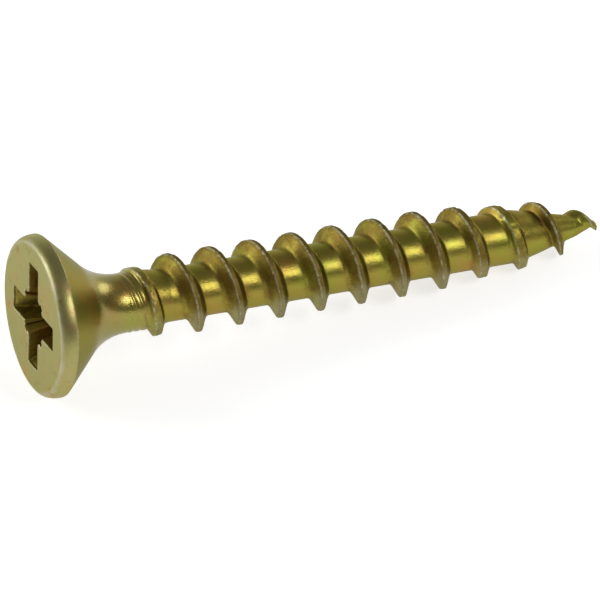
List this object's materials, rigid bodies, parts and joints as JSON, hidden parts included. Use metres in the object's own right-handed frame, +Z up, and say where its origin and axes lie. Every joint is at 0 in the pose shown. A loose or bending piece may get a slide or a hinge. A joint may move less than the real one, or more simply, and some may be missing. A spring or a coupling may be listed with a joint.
{
  "type": "chipboard screw",
  "caption": "Countersunk wood screw with a cross recess, smooth neck and a coarse right-hand thread that runs out to a sharp point.",
  "frame": {"origin": "centre of the bounding box on the ground that the screw lies on", "axes": "+X from the head towards the point, which dips 5.7 degrees to the ground, +Z up"},
  "size_m": [0.026, 0.007, 0.007],
  "materials": {
    "yellow_zinc_steel": "hardened steel with a shiny yellow-passivated zinc coat, golden olive with green and brown tints"
  },
  "bodies": {
    "root": {"chipboard_screw": "yellow_zinc_steel"}
  },
  "joints": []
}
